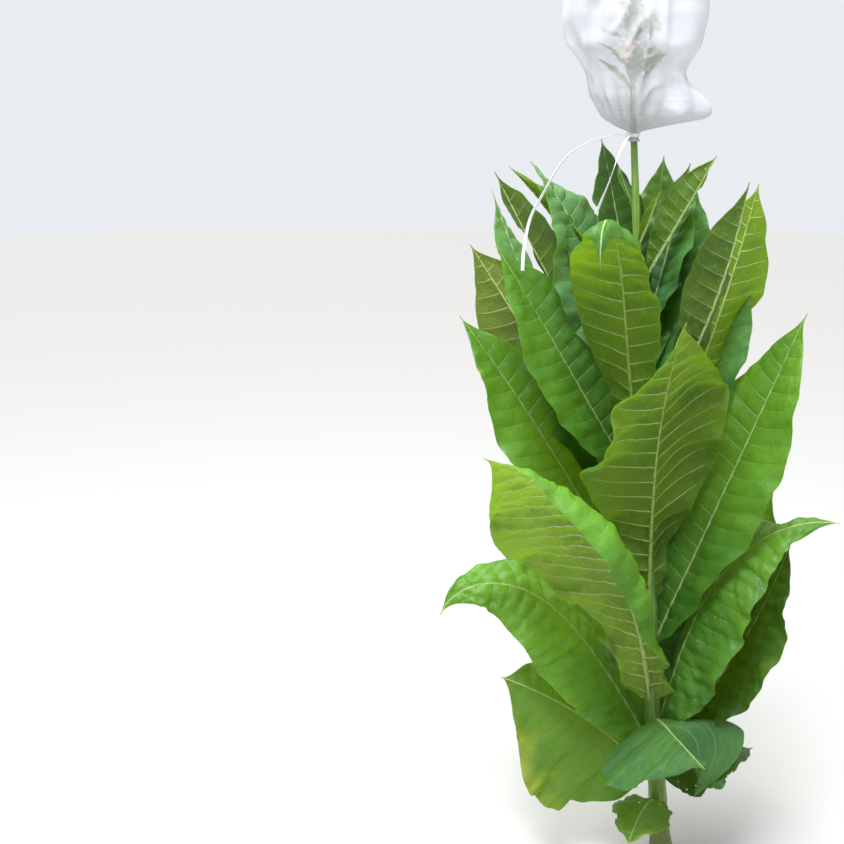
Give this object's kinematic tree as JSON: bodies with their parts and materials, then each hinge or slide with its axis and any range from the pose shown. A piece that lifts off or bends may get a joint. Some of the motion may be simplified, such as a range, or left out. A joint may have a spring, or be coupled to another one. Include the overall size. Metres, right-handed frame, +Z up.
{
  "type": "tobacco plant",
  "caption": "Leafy tobacco plant with broad upright leaves round a leaning stem and a sheer fabric bag tied over its flower head.",
  "frame": {"origin": "centre of the flat cut under the stem, at ground level", "axes": "+Z up, +Y away from the usual viewer, +X to the viewer's right"},
  "size_m": [0.6512, 0.6439, 1.587],
  "materials": {
    "stem": "satin green stalk with fine lengthwise ribs",
    "leaf": "soft satin leaf, puckered between pale veins",
    "flower_head": "matt green stalks and buds with pale flowers",
    "flower_bag": "sheer white woven fabric",
    "trim": "white woven ribbon"
  },
  "bodies": {
    "root": {"stem": "stem", "leaf_01": "leaf", "leaf_02": "leaf", "leaf_03": "leaf", "leaf_04": "leaf", "leaf_05": "leaf", "leaf_06": "leaf", "leaf_07": "leaf", "leaf_08": "leaf", "leaf_09": "leaf", "leaf_10": "leaf", "leaf_11": "leaf", "leaf_12": "leaf", "leaf_13": "leaf", "leaf_14": "leaf", "leaf_15": "leaf", "leaf_16": "leaf", "leaf_17": "leaf", "leaf_18": "leaf", "leaf_19": "leaf", "leaf_20": "leaf", "leaf_21": "leaf", "leaf_22": "leaf", "leaf_23": "leaf", "leaf_24": "leaf", "leaf_25": "leaf", "leaf_26": "leaf", "leaf_27": "leaf", "leaf_28": "leaf", "leaf_29": "leaf", "leaf_30": "leaf", "leaf_31": "leaf", "leaf_32": "leaf", "leaf_33": "leaf", "leaf_34": "leaf", "leaf_35": "leaf", "leaf_36": "leaf", "flower_head": "flower_head", "flower_bag": "flower_bag", "bag_tie": "trim", "bag_ribbon_left": "trim", "bag_ribbon_right": "trim"}
  },
  "joints": []
}
